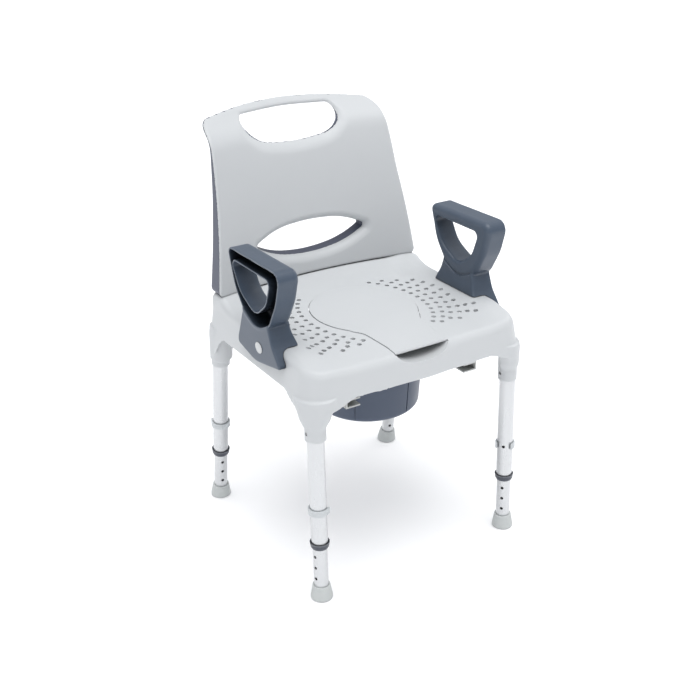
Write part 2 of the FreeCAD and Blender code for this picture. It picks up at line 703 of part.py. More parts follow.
# Rails: two flanges that guide the bucket's runner, a web, and a top flange screwed to the seat bosses.
def rail(side, name):
    web, lip, low, wall = (val(a) for a in ("rail_web", "rail_lip", "rail_bottom", "rail_wall"))
    slot_top, hang = low + 15, boss_low - 0.2
    section = [(lip, low), (web + wall, low), (web + wall, hang - wall), (web + 26, hang - wall),
               (web + 26, hang), (web, hang), (web, slot_top + wall), (lip, slot_top + wall),
               (lip, slot_top), (web, slot_top), (web, low + wall), (lip, low + wall)]
    body = new_body("rail_bar_" + name)
    sketch = sketch_on(body, "rail_section_" + name, "XZ_Plane",
                       polygon([(side * x, z) for x, z in section]), "-Values.rail_front - Values.rail_length")
    pad(body, "rail_bar_pad_" + name, sketch, "Values.rail_length")
    holes = []
    for y in boss_along:
        hole = primitive("Cylinder", "rail_hole", Radius=2.2, Height=10)
        holes.append(place(hole, Vector(side * boss_across, y, hang - 7)))
    return cut("rail_" + name, body, fuse("rail_holes_" + name, holes))


def rail_screws():
    screws = []
    under = boss_low - 0.2 - val("rail_wall")
    for side in (1, -1):
        for y in boss_along:
            head = primitive("Cylinder", "screw_head", Radius=4, Height=2.5)
            shank = primitive("Cylinder", "screw_shank", Radius=1.75, Height=13)
            place(head, Vector(side * boss_across, y, under - 2.55))
            place(shank, Vector(side * boss_across, y, under - 1))
            screws.append(fuse("rail_screw", [head, shank]))
    group = doc.addObject("Part::Compound", "rail_screw_group")
    group.Links = screws
    return group


for side, name in ((1, "left"), (-1, "right")):
    named(rail(side, name), "bucket_rail_" + name)
named(rail_screws(), "rail_screws")


# Bucket with a runner flange, and its carrying handle pivoted on two lugs.
def bucket():
    low, rim, wall = val("bucket_bottom"), val("bucket_rim"), val("bucket_wall")
    mouth, base, flange = val("bucket_mouth_radius"), val("bucket_base_radius"), val("flange_radius")
    runner = val("rail_bottom") + val("rail_wall") + 0.4
    body = new_body("bucket_turned")
    side = mouth - 1.5
    profile = [(0, low), (base - 8, low), (base, low + 8), (side, runner), (flange, runner),
               (flange, runner + 4), (side, runner + 4), (mouth, rim), (mouth - wall, rim),
               (side - wall, runner), (base - wall, low + 10), (base - 9, low + wall), (0, low + wall)]
    revolve(body, "bucket_turn", sketch_on(body, "bucket_profile", "XZ_Plane", polygon(profile)))
    body.Placement = Placement(Vector(0, val("bucket_centre"), 0), Rotation())
    lugs = []
    for side_sign in (1, -1):
        lug = primitive("Cylinder", "bucket_lug", Radius=3, Height=12)
        start = side_sign * (mouth - 1.5)
        lugs.append(place(lug, Vector(start, val("bucket_centre"), rim - 6), Vector(side_sign, 0, 0)))
    return fuse("bucket_solid", [body] + lugs)


def bucket_handle():
    # half ring lying behind the mouth, with an eye round each lug
    ring, wire, rim = val("bail_radius"), val("bail_wire"), val("bucket_rim")
    arc = doc.addObject("Part::Torus", "bail_ring")
    bind(arc, Radius1="Values.bail_radius", Radius2="Values.bail_wire", Angle3=180)
    pivot = Vector(0, val("bucket_centre"), rim - 6)
    arc.Placement = Placement(pivot, Rotation())
    eyes = []
    bores = []
    for side in (1, -1):
        start = side * (ring - 3)
        eye = primitive("Cylinder", "bail_eye", Radius=6, Height=6)
        bore = primitive("Cylinder", "bail_bore", Radius=3.05, Height=16)
        eyes.append(place(eye, pivot + Vector(start, 0, 0), Vector(side, 0, 0)))
        bores.append(place(bore, pivot + Vector(side * (ring - 9), 0, 0), Vector(side, 0, 0)))
    return cut("bail", fuse("bail_solids", [arc] + eyes), fuse("bail_bores", bores))


named(bucket(), "bucket")
named(bucket_handle(), "bucket_handle")

# Check every object, then write each sub-part.
doc.recompute()
failed = [o.Name for o in doc.Objects if "Invalid" in o.State or "Error" in o.State]
for part in parts:
    shape = part.Shape
    if shape.isNull() or not shape.isValid() or not shape.Solids:
        failed.append(part.Label)
if failed:
    raise RuntimeError("these did not build: " + ", ".join(failed))
os.makedirs("parts", exist_ok=True)
whole = FreeCAD.BoundBox()
for part in parts:
    part.Shape.exportStep(os.path.join("parts", part.Label + ".step"))
    box = part.Shape.BoundBox
    whole.add(box)
    print("%-22s solids %d  volume %9.0f  box %s" % (part.Label, len(part.Shape.Solids), part.Shape.Volume,
          [round(v, 1) for v in (box.XMin, box.YMin, box.ZMin, box.XMax, box.YMax, box.ZMax)]))
print("whole box", [round(v, 2) for v in (whole.XMin, whole.YMin, whole.ZMin, whole.XMax, whole.YMax, whole.ZMax)])
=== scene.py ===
import json
import math
import bmesh
import bpy
import numpy as np
import openvdb
from mathutils import Matrix, Vector


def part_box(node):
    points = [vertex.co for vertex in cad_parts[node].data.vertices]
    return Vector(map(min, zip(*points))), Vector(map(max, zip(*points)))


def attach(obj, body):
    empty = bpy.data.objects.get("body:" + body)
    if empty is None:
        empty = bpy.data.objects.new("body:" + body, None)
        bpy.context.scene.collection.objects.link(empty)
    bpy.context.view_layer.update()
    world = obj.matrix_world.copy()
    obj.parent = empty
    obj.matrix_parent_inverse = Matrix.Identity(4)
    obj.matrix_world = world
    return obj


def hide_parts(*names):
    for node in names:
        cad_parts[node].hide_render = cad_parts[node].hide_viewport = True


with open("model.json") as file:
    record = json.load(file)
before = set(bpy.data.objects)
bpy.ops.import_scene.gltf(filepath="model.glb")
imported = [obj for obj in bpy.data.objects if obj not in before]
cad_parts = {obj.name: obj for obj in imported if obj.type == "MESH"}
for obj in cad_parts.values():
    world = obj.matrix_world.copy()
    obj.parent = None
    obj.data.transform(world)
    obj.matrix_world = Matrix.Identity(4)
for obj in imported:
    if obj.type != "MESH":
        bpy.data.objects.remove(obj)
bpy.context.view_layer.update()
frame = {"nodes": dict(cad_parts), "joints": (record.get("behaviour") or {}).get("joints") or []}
mm = 0.001  # shapes are worked out in millimetres and stored in metres
sides = {"left": 1, "right": -1}
print("frame loaded")


# ---- node trees written as expressions ----

class Link:
    def __init__(self, graph, socket):
        self.graph = graph
        self.socket = socket

    def maths(self, operation, first, second=0.5):
        return self.graph.add("ShaderNodeMath", {"operation": operation}, {0: first, 1: second})

    def __add__(self, other):
        return self.maths("ADD", self, other)

    def __sub__(self, other):
        return self.maths("SUBTRACT", self, other)

    def __mul__(self, other):
        return self.maths("MULTIPLY", self, other)

    def __truediv__(self, other):
        return self.maths("DIVIDE", self, other)

    def __pow__(self, other):
        return self.maths("POWER", self, other)

    def __radd__(self, other):
        return self.maths("ADD", other, self)

    def __rsub__(self, other):
        return self.maths("SUBTRACT", other, self)

    def __rmul__(self, other):
        return self.maths("MULTIPLY", other, self)


class Graph:
    def __init__(self, tree):
        self.tree = tree

    def add(self, kind, settings=None, sockets=None, output=0):
        node = self.tree.nodes.new(kind)
        for name, value in (settings or {}).items():
            if name == "stops":
                ramp = node.color_ramp
                while len(ramp.elements) < len(value):
                    ramp.elements.new(0.5)
                for element, (place, colour) in zip(ramp.elements, value):
                    element.position = place
                    element.color = colour
            else:
                setattr(node, name, value)
        for name, value in (sockets or {}).items():
            if isinstance(value, Link):
                self.tree.links.new(value.socket, node.inputs[name])
            elif value is not None:
                node.inputs[name].default_value = value
        return Link(self, node.outputs[output])


# ---- camera, floor and light ----

view = {"place": (-1.1292, -1.7898, 1.3848), "azimuth": -32.27, "elevation": 25.48, "roll": -0.47, "lens": 57.76}


def addCamera():
    azimuth, elevation, roll = (math.radians(view[k]) for k in ("azimuth", "elevation", "roll"))
    back = Vector((math.sin(azimuth) * math.cos(elevation), -math.cos(azimuth) * math.cos(elevation),
                   math.sin(elevation)))
    right = Vector((0, 0, 1)).cross(back).normalized()
    up = back.cross(right)
    axes = (right * math.cos(roll) + up * math.sin(roll), up * math.cos(roll) - right * math.sin(roll), back)
    data = bpy.data.cameras.new("camera")
    data.lens = view["lens"]
    data.sensor_width = 36
    camera = bpy.data.objects.new("camera", data)
    camera.matrix_world = Matrix(axes).transposed().to_4x4()
    camera.location = view["place"]
    bpy.context.scene.collection.objects.link(camera)
    bpy.context.scene.camera = camera


addCamera()

studio = {"floorSize": 60, "floorGlow": 0.12, "floorColour": (0.95, 0.95, 0.955), "zenith": (0.90, 0.91, 0.93),
          "horizon": (0.33, 0.34, 0.36), "sunStrength": 1.75, "sunSpread": 48, "sunPlace": (-0.05, -0.15, 1.0)}
lamps = {
    "frontFill": {"place": (-2.4, -2.2, 1.3), "aim": (0, 0, 0.5), "size": 1.6, "power": 2},
    "rim": {"place": (2.4, 0.6, 1.6), "aim": (0, 0, 0.5), "size": 1.2, "power": 7},
}


def addObject(name, mesh):
    piece = bpy.data.objects.new(name, mesh)
    bpy.context.scene.collection.objects.link(piece)
    return piece


def addStudio():
    world = bpy.data.worlds.new("studio")
    world.use_nodes = True
    graph = Graph(world.node_tree)
    direction = graph.add("ShaderNodeTexCoord")
    height = graph.add("ShaderNodeSeparateXYZ", None, {"Vector": direction}, 2)
    sky = graph.add("ShaderNodeValToRGB", {"stops": [(0.0, (*studio["horizon"], 1)), (0.75, (*studio["zenith"], 1))]},
                    {"Fac": height})
    world.node_tree.links.new(sky.socket, world.node_tree.nodes["Background"].inputs["Color"])
    bpy.context.scene.world = world
    sun = bpy.data.lights.new("sun", "SUN")
    sun.energy = studio["sunStrength"]
    sun.angle = math.radians(studio["sunSpread"])
    sunLamp = addObject("sun", sun)
    sunLamp.rotation_euler = (-Vector(studio["sunPlace"])).to_track_quat("-Z", "Y").to_euler()
    bpy.context.scene.view_settings.view_transform = "Standard"
    for name, lamp in lamps.items():
        data = bpy.data.lights.new(name, "AREA")
        data.shape = "DISK"
        data.size = lamp["size"]
        data.energy = lamp["power"]
        light = addObject(name, data)
        light.location = lamp["place"]
        toward = Vector(lamp["aim"]) - Vector(lamp["place"])
        light.rotation_euler = toward.to_track_quat("-Z", "Y").to_euler()
    half = studio["floorSize"] / 2
    mesh = bpy.data.meshes.new("floor")
    mesh.from_pydata([(-half, -half, 0), (half, -half, 0), (half, half, 0), (-half, half, 0)], [], [(0, 1, 2, 3)])
    floor = addObject("floor", mesh)
    paint = bpy.data.materials.new("floor")
    paint.use_nodes = True
    paint.node_tree.nodes["Principled BSDF"].inputs["Base Color"].default_value = (*studio["floorColour"], 1)
    paint.node_tree.nodes["Principled BSDF"].inputs["Roughness"].default_value = 0.9
    paint.node_tree.nodes["Principled BSDF"].inputs["Emission Color"].default_value = (1, 1, 1, 1)
    paint.node_tree.nodes["Principled BSDF"].inputs["Emission Strength"].default_value = studio["floorGlow"]
    mesh.materials.append(paint)


addStudio()
print("camera, floor and light placed")


# ---- finishes ----

def newMaterial(name):
    material = bpy.data.materials.new(name)
    material.use_nodes = True
    graph = Graph(material.node_tree)
    shader = material.node_tree.nodes["Principled BSDF"]
    return material, graph, shader


def noise(graph, where, scale, detail=3.0, roughness=0.5):
    return graph.add("ShaderNodeTexNoise", {"noise_dimensions": "3D"},
                     {"Vector": where, "Scale": scale, "Detail": detail, "Roughness": roughness})


# each finish also sets the painted shade darkening its hollows (recess reach, darkest factor, open level) and the
# strength of its paler rubbed edges, which double as painted rim highlights
plastics = {
    "lightShell": {"colour": (0.560, 0.575, 0.585), "shade": (0.525, 0.542, 0.555), "rough": 0.42, "spread": 0.10,
                   "grain": 1500, "depth": 0.035, "wear": 0.05, "coat": 0.0, "recess": 0.028, "paintedShadeDarkest": 0.22},
    "slateShell": {"colour": (0.068, 0.078, 0.118), "shade": (0.052, 0.061, 0.095), "rough": 0.38, "spread": 0.12,
                   "grain": 1300, "depth": 0.045, "wear": 0.07, "coat": 0.0, "recess": 0.02, "paintedShadeDarkest": 0.55},
    "slateArmrest": {"colour": (0.067, 0.092, 0.130), "shade": (0.052, 0.071, 0.103), "rough": 0.34,
                     "spread": 0.12, "grain": 1300, "depth": 0.04, "wear": 0.045, "coat": 0.0, "recess": 0.07,
                     "paintedShadeDarkest": 0.05, "open": 0.88},
    "bucketPlastic": {"colour": (0.064, 0.086, 0.132), "shade": (0.050, 0.067, 0.106), "rough": 0.40,
                      "spread": 0.12, "grain": 1200, "depth": 0.05, "wear": 0.05, "coat": 0.0, "recess": 0.02,
                      "paintedShadeDarkest": 0.45},
    "collarPlastic": {"colour": (0.062, 0.069, 0.090), "shade": (0.048, 0.053, 0.072), "rough": 0.42,
                      "spread": 0.1, "grain": 1600, "depth": 0.03, "wear": 0.08, "coat": 0.0, "recess": 0.006,
                      "paintedShadeDarkest": 0.5},
    "clipPlastic": {"colour": (0.56, 0.585, 0.595), "shade": (0.51, 0.535, 0.55), "rough": 0.40, "spread": 0.1,
                    "grain": 1800, "depth": 0.025, "wear": 0.05, "coat": 0.0, "recess": 0.005, "paintedShadeDarkest": 0.5},
    "railPlastic": {"colour": (0.56, 0.57, 0.555), "shade": (0.43, 0.44, 0.425), "rough": 0.5, "spread": 0.12,
                    "grain": 1400, "depth": 0.04, "wear": 0.06, "coat": 0.0, "recess": 0.02, "paintedShadeDarkest": 0.45},
    "badgePlastic": {"colour": (0.54, 0.555, 0.565), "shade": (0.47, 0.485, 0.49), "rough": 0.28, "spread": 0.08,
                     "grain": 2200, "depth": 0.02, "wear": 0.04, "coat": 0.3, "recess": 0.003, "paintedShadeDarkest": 0.7},
    "footRubber": {"colour": (0.555, 0.58, 0.575), "shade": (0.465, 0.485, 0.48), "rough": 0.62, "spread": 0.14,
                   "grain": 1000, "depth": 0.07, "wear": 0.06, "coat": 0.0, "recess": 0.006, "paintedShadeDarkest": 0.5},
}


def mouldedPlastic(name, look):
    # cloudy colour, painted shade darkening deep recesses, a fine spark-eroded grain, rubbed paler edges that also
    # serve as painted rim highlights, and uneven gloss
    material, graph, shader = newMaterial(name)
    where = graph.add("ShaderNodeTexCoord", output=3)
    cloud = noise(graph, where, 9.0, 4.0, 0.6)
    grain = noise(graph, where, look["grain"], 2.0, 0.6)
    handling = noise(graph, where, 34.0, 5.0, 0.62)
    edge = graph.add("ShaderNodeNewGeometry", output=7)
    # paler rubbed edges found by pointiness: part edge wear, part painted highlight along rims
    rubbedAndHighlit = graph.add("ShaderNodeMapRange", {"interpolation_type": "SMOOTHSTEP"},
                       {"Value": edge + handling * 0.04, 1: 0.535, 2: 0.60, 3: 0.0, 4: look["wear"]})
    tone = graph.add("ShaderNodeMix", {"data_type": "RGBA"},
                     {0: cloud * 0.7 + grain * 0.3, 6: (*look["shade"], 1), 7: (*look["colour"], 1)}, 2)
    wornAndHighlit = graph.add("ShaderNodeMix", {"data_type": "RGBA"}, {0: rubbedAndHighlit, 6: tone, 7: (0.9, 0.91, 0.92, 1)}, 2)
    # painted shade: an ambient occlusion test darkens the colour towards black in hollows and recesses, down to the
    # finish's darkest factor
    openness = graph.add("ShaderNodeAmbientOcclusion", {"samples": 6}, {"Distance": look["recess"]}, 1)
    paintedShade = graph.add("ShaderNodeMapRange", None,
                       {"Value": openness, 1: 0.18, 2: look.get("open", 0.62), 3: look["paintedShadeDarkest"], 4: 1.0})
    colour = graph.add("ShaderNodeMix", {"data_type": "RGBA"}, {0: paintedShade, 6: (0, 0, 0, 1), 7: wornAndHighlit}, 2)
    gloss = look["rough"] + (handling - 0.5) * look["spread"] + (grain - 0.5) * 0.10
    relief = graph.add("ShaderNodeBump", None, {"Strength": 0.6, "Distance": look["depth"] * mm, "Height": grain})
    tree = graph.tree
    tree.links.new(colour.socket, shader.inputs["Base Color"])
    tree.links.new(gloss.socket, shader.inputs["Roughness"])
    tree.links.new(relief.socket, shader.inputs["Normal"])
    shader.inputs["IOR"].default_value = 1.48
    shader.inputs["Coat Weight"].default_value = look["coat"]
    return material


metals = {
    "anodisedTube": {"colour": (0.60, 0.61, 0.62), "dull": (0.57, 0.58, 0.59), "rough": 0.30, "metal": 0.9,
                     "stretch": (700, 700, 5)},
    "screwSteel": {"colour": (0.62, 0.62, 0.63), "dull": (0.45, 0.45, 0.46), "rough": 0.32, "metal": 1.0,
                   "stretch": (400, 400, 400)},
    "handleSteel": {"colour": (0.68, 0.69, 0.70), "dull": (0.52, 0.53, 0.54), "rough": 0.25, "metal": 1.0,
                    "stretch": (60, 500, 500)},
}


def drawnMetal(name, look):
    # drawing lines along the stock, a few scuffs and a cloudy satin skin
    material, graph, shader = newMaterial(name)
    where = graph.add("ShaderNodeTexCoord", output=3)
    along = graph.add("ShaderNodeMapping", None, {"Vector": where, "Scale": look["stretch"]})
    lines = noise(graph, along, 1.0, 4.0, 0.65)
    cloud = noise(graph, where, 22.0, 4.0, 0.6)
    scuffs = graph.add("ShaderNodeMapRange", {"interpolation_type": "SMOOTHSTEP"},
                       {"Value": noise(graph, where, 160.0, 6.0, 0.75), 1: 0.60, 2: 0.74, 3: 0.0, 4: 1.0})
    tone = graph.add("ShaderNodeMix", {"data_type": "RGBA"},
                     {0: lines * 0.5 + cloud * 0.5, 6: (*look["dull"], 1), 7: (*look["colour"], 1)}, 2)
    gloss = look["rough"] + (lines - 0.5) * 0.16 + (cloud - 0.5) * 0.12 + scuffs * 0.10
    relief = graph.add("ShaderNodeBump", None, {"Strength": 0.15, "Distance": 0.008 * mm, "Height": lines})
    tree = graph.tree
    tree.links.new(tone.socket, shader.inputs["Base Color"])
    tree.links.new(gloss.socket, shader.inputs["Roughness"])
    tree.links.new(relief.socket, shader.inputs["Normal"])
    shader.inputs["Metallic"].default_value = look["metal"]
    return material


finishes = {name: mouldedPlastic(name, look) for name, look in plastics.items()}
finishes.update({name: drawnMetal(name, look) for name, look in metals.items()})
print("finishes made:", len(finishes))


# ---- shapes as signed distances, in millimetres: negative inside ----

def join(a, b, radius=0.0):
    if np.isscalar(radius) and radius == 0:
        return np.minimum(a, b)
    return np.maximum(np.minimum(a, b), radius) - np.hypot(np.maximum(radius - a, 0), np.maximum(radius - b, 0))


def meet(a, b, radius=0.0):
    if np.isscalar(radius) and radius == 0:
        return np.maximum(a, b)
    return np.minimum(np.maximum(a, b), -radius) + np.hypot(np.maximum(radius + a, 0), np.maximum(radius + b, 0))


def ramp(value, start, end):
    t = np.clip((value - start) / (end - start), 0, 1)
    return t * t * (3 - 2 * t)


def splineThrough(knots, values):
    # natural cubic through the points, carried on straight beyond its ends
    x, y = np.array(knots, float), np.array(values, float)
    h = np.diff(x)
    size = len(x)
    system = np.eye(size)
    target = np.zeros(size)
    for i in range(1, size - 1):
        system[i, i - 1:i + 2] = h[i - 1], 2 * (h[i - 1] + h[i]), h[i]
        target[i] = 6 * ((y[i + 1] - y[i]) / h[i] - (y[i] - y[i - 1]) / h[i - 1])
    bend = np.linalg.solve(system, target)
    first = (y[1] - y[0]) / h[0] - h[0] * bend[1] / 6
    last = (y[-1] - y[-2]) / h[-1] + h[-1] * bend[-2] / 6

    def at(value):
        inside = np.clip(value, x[0], x[-1])
        i = np.clip(np.searchsorted(x, inside) - 1, 0, size - 2)
        a, b = x[i + 1] - inside, inside - x[i]
        curve = (bend[i] * a ** 3 + bend[i + 1] * b ** 3) / (6 * h[i])
        curve += (y[i] / h[i] - bend[i] * h[i] / 6) * a + (y[i + 1] / h[i] - bend[i + 1] * h[i] / 6) * b
        return curve + np.minimum(value - x[0], 0) * first + np.maximum(value - x[-1], 0) * last

    return at


def roundedOutline(corners, steps=7):
    # (u, v, radius) at each corner, turned into a closed line of points with arcs at the corners
    points = []
    places = [np.array(c[:2], float) for c in corners]
    for i, (_, _, radius) in enumerate(corners):
        here = places[i]
        before = places[i - 1] - here
        after = places[(i + 1) % len(places)] - here
        before /= np.hypot(*before)
        after /= np.hypot(*after)
        half = math.acos(np.clip(before @ after, -1, 1)) / 2
        middle = before + after
        centre = here + middle / np.hypot(*middle) * radius / math.sin(half)
        start = here + before * radius / math.tan(half) - centre
        end = here + after * radius / math.tan(half) - centre
        sweep = math.atan2(start[0] * end[1] - start[1] * end[0], start @ end)
        for t in np.linspace(0, sweep, steps):
            turned = (start[0] * math.cos(t) - start[1] * math.sin(t),
                      start[0] * math.sin(t) + start[1] * math.cos(t))
            points.append(centre + turned)
    return np.array(points)


def mirrored(corners):
    return corners + [(-u, v, radius) for u, v, radius in reversed(corners) if u != 0]


def outlineDistance(points, u, v):
    nearest = np.full(np.broadcast(u, v).shape, 1e12)
    sign = np.ones(nearest.shape)
    for (au, av), (bu, bv) in zip(points, np.roll(points, 1, axis=0)):
        eu, ev = bu - au, bv - av
        wu, wv = u - au, v - av
        t = np.clip((wu * eu + wv * ev) / (eu * eu + ev * ev + 1e-12), 0, 1)
        nearest = np.minimum(nearest, (wu - eu * t) ** 2 + (wv - ev * t) ** 2)
        above, below, left = v >= av, v < bv, eu * wv > ev * wu
        crossing = (above & below & left) | (~above & ~below & ~left)
        sign = np.where(crossing, -sign, sign)
    return sign * np.sqrt(nearest)


def boxDistance(x, y, z, low, high):
    gaps = [np.maximum(a - value, value - b) for value, a, b in zip((x, y, z), low, high)]
    return np.maximum(np.maximum(gaps[0], gaps[1]), gaps[2])


def meshFromField(name, field, low, high, step, polish=4):
    # marches a grid over the field, then slides every point onto the true surface
    low = np.array(low, float)
    axes = [np.arange(low[i], high[i] + step, step) for i in range(3)]
    x, y, z = np.meshgrid(*axes, indexing="ij", sparse=True)
    values = np.clip(field(x, y, z), -4 * step, 4 * step).astype(np.float32)
    volume = openvdb.FloatGrid(4 * step)
    volume.copyFromArray(np.ascontiguousarray(values))
    points, _, quads = volume.convertToPolygons(isovalue=0.0)
    points = points.astype(float) * step + low
    nudge = step * 0.08
    for _ in range(polish):
        value = field(*points.T)
        slope = np.stack([(field(*(points + d).T) - field(*(points - d).T)) / (2 * nudge)
                          for d in np.eye(3) * nudge], 1)
        size = np.maximum((slope ** 2).sum(1), 0.4)
        move = -(value / size)[:, None] * slope
        length = np.maximum(np.linalg.norm(move, axis=1), 1e-9)
        points += move * np.minimum(1, 0.5 * step / length)[:, None]
    corners = points[quads[:, 0]], points[quads[:, 1]], points[quads[:, 2]]
    volumeSign = np.einsum("ij,ij->i", corners[0], np.cross(corners[1], corners[2])).sum()
    if volumeSign < 0:
        quads = quads[:, ::-1]
    mesh = bpy.data.meshes.new(name)
    mesh.from_pydata((points * mm).tolist(), [], quads.tolist())
    mesh.validate()
    piece = addObject(name, mesh)
    piece.data.shade_smooth()
    return piece


def prism(name, points, low, high):
    # closed straight block over a plan outline
    count = len(points)
    ring = [(u * mm, v * mm, low * mm) for u, v in points] + [(u * mm, v * mm, high * mm) for u, v in points]
    faces = [[i, (i + 1) % count, count + (i + 1) % count, count + i] for i in range(count)]
    faces += [list(reversed(range(count))), list(range(count, 2 * count))]
    mesh = bpy.data.meshes.new(name)
    mesh.from_pydata(ring, [], faces)
    shape = bmesh.new()
    shape.from_mesh(mesh)
    bmesh.ops.recalc_face_normals(shape, faces=shape.faces)
    bmesh.ops.triangulate(shape, faces=shape.faces)
    shape.to_mesh(mesh)
    shape.free()
    return addObject(name, mesh)


def rod(name, place, axis, radius, length, sides):
    shape = bmesh.new()
    bmesh.ops.create_cone(shape, cap_ends=True, segments=sides, radius1=radius * mm, radius2=radius * mm,
                          depth=length * mm)
    turn = Vector((0, 0, 1)).rotation_difference(Vector(axis)).to_matrix().to_4x4()
    shape.transform(Matrix.Translation(Vector(place) * mm) @ turn)
    mesh = bpy.data.meshes.new(name)
    shape.to_mesh(mesh)
    shape.free()
    return addObject(name, mesh)


def plainMesh(piece):
    # the evaluated shape becomes the piece's own mesh, and its modifiers go
    graph = bpy.context.evaluated_depsgraph_get()
    mesh = bpy.data.meshes.new_from_object(piece.evaluated_get(graph))
    piece.modifiers.clear()
    piece.data = mesh


def cutAway(piece, tool, operation="DIFFERENCE"):
    modifier = piece.modifiers.new("cut", "BOOLEAN")
    modifier.operation = operation
    modifier.solver = "MANIFOLD"
    modifier.object = tool
    plainMesh(piece)
    bpy.data.objects.remove(tool)


def finishPiece(piece, body, finish, nodes, crease=38):
    piece.data.materials.clear()
    piece.data.materials.append(finishes[finish])
    piece.data.polygons.foreach_set("material_index", [0] * len(piece.data.polygons))
    piece.data.shade_smooth()
    piece.data.set_sharp_from_angle(angle=math.radians(crease))
    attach(piece, body)
    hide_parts(*nodes)
    print(piece.name, "has", len(piece.data.polygons), "faces")
    return piece


# ---- legs: the lines that the sockets follow ----

def legLine(leg):
    low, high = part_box("upper_tube_" + leg)
    joint = next(j for j in frame["joints"] if j["name"] == "leg_%s_height" % leg)
    direction = -np.array(joint["axis"], float)
    return (np.array(low) + np.array(high)) / 2 / mm, direction / np.linalg.norm(direction)


legs = {leg: legLine(leg) for leg in ("front_left", "front_right", "rear_left", "rear_right")}


def alongAndAcross(x, y, z, leg):
    centre, axis = legs[leg]
    dx, dy, dz = x - centre[0], y - centre[1], z - centre[2]
    along = dx * axis[0] + dy * axis[1] + dz * axis[2]
    across = np.sqrt(np.maximum(dx * dx + dy * dy + dz * dz - along * along, 1e-9))
    return centre[2] + along * axis[2], across


crossScrew = {"height": 366, "hole": 3.7, "shank": 2.5, "head": 3.4, "headDepth": 2.2, "reach": 16.9}


def screwPlace(leg):
    centre, axis = legs[leg]
    return centre + axis * (crossScrew["height"] - centre[2]) / axis[2]


# ---- seat ----

seat = {
    "halfWidth": 243, "front": -256, "rear": 161, "cornerFront": 46, "cornerRear": 34, "top": 487,
    "edgeRound": 15, "wall": 4, "skirtLow": 430, "skirtFlare": 7, "bowTop": 6, "bowLow": 16, "rake": 6,
    "ridgeRise": 9.8, "ridgeFrom": 160, "ridgeTo": 206, "rearRise": 20.7, "rearRun": 66,
    "seamMiddle": 131, "seamCurve": 34, "frontDrop": 5.5, "step": 3.0,
    "flapStart": 77, "flapEnd": 143, "flapDrop": 60, "frontFlapDrop": 20,
}
sockets = {
    "radius": 20, "low": 349, "bore": 16.4, "proud": 4.5,
    "front": {"knots": (349, 374, 380, 390, 404, 424, 440, 476), "radii": (20, 20, 22.5, 28.5, 33.5, 43, 45, 45)},
    "rear": {"knots": (349, 363, 367, 400, 446, 476), "radii": (20, 20, 25.5, 25.5, 25.5, 25.5)},
}
hatch = {"halfWidth": 107.6, "halfLength": 117, "centre": -53, "tongue": 59, "depth": 6, "ledge": 11, "gap": 1.0,
         "proud": 1.9}


def skirtLevel(z):
    return np.clip((480 - z) / (480 - seat["skirtLow"]), 0, 1.3)


def panDistance(x, y, z, grow=0.0):
    low = skirtLevel(z)
    half = seat["halfWidth"] + seat["skirtFlare"] * low + grow
    bow = seat["bowTop"] + (seat["bowLow"] - seat["bowTop"]) * low
    front = seat["front"] - grow - low * seat["rake"] - bow * (1 - np.minimum(np.abs(x) / half, 1) ** 2)
    rear = seat["rear"] + grow
    middle, length = (front + rear) / 2, (rear - front) / 2
    corner = np.where(y < middle, seat["cornerFront"], seat["cornerRear"])
    qx = np.abs(x) - half + corner
    qy = np.abs(y - middle) - length + corner
    return np.hypot(np.maximum(qx, 0), np.maximum(qy, 0)) + np.minimum(np.maximum(qx, qy), 0) - corner


def seatTop(x, y):
    across = np.abs(x)
    ridge = seat["ridgeRise"] * ramp(across, seat["ridgeFrom"], seat["ridgeTo"])
    ridge = ridge * (1 - 0.75 * ramp(-y, 165, 240))
    seam = seat["seamMiddle"] - seat["seamCurve"] * (x / 240) ** 2
    climb = np.clip((y - seam) / seat["rearRun"] + 1, 0, 1)
    rear = seat["rearRise"] * climb ** 1.9
    drop = seat["frontDrop"] * ramp(-y, 150, 262)
    return seat["top"] - join(-ridge, -rear, 6.0) - drop


def seatOutside(x, y, z):
    return meet(panDistance(x, y, z), z - seatTop(x, y), seat["edgeRound"])


def skirtEdge(x, y):
    side = ramp(y, seat["flapStart"], seat["flapEnd"])
    rear = ramp(np.abs(x), 178, 232)
    corner = np.hypot(np.abs(x) - 227, y + 238)
    front = seat["frontFlapDrop"] * (1 - ramp(corner, 28, 82))
    return seat["skirtLow"] - front - seat["flapDrop"] * side * rear


def socketDistance(x, y, z, leg, grow=0.0):
    shape = sockets["front" if leg.startswith("front") else "rear"]
    height, across = alongAndAcross(x, y, z, leg)
    radius = np.interp(height, shape["knots"], shape["radii"])
    if shape is sockets["front"]:
        centre = legs[leg][0]
        outward = ((x - centre[0]) * np.sign(centre[0]) - (y + 238)) * 0.707 / across
        radius = sockets["radius"] + (radius - sockets["radius"]) * ramp(outward, -0.72, -0.42)
    return meet(across - radius + grow, sockets["low"] - height, 1.5)


def seatField(x, y, z):
    outside = seatOutside(x, y, z)
    shell = np.maximum(outside, -(outside + seat["wall"]))
    shell = meet(shell, skirtEdge(x, y) - z, 1.2)
    envelope = panDistance(x, y, np.maximum(z, 424), sockets["proud"])
    roof = z - seatTop(x, y) + 2.5
    for leg in legs:
        socket = meet(socketDistance(x, y, z, leg), envelope, 7.0)
        socket = np.maximum(socket, roof)
        front = leg.startswith("front")
        shoulder = 433 - 0.10 * (np.abs(x) - 240) if front else 443
        socket = meet(socket, z - shoulder, 2.0)
        shell = join(shell, socket, 3.0 if front else 2.0)
    return shell


def ovalPoints(halfWidth, halfLength, centre, count=96):
    turns = [2 * math.pi * i / count for i in range(count)]
    return np.array([(halfWidth * math.cos(t), centre + halfLength * math.sin(t)) for t in turns])


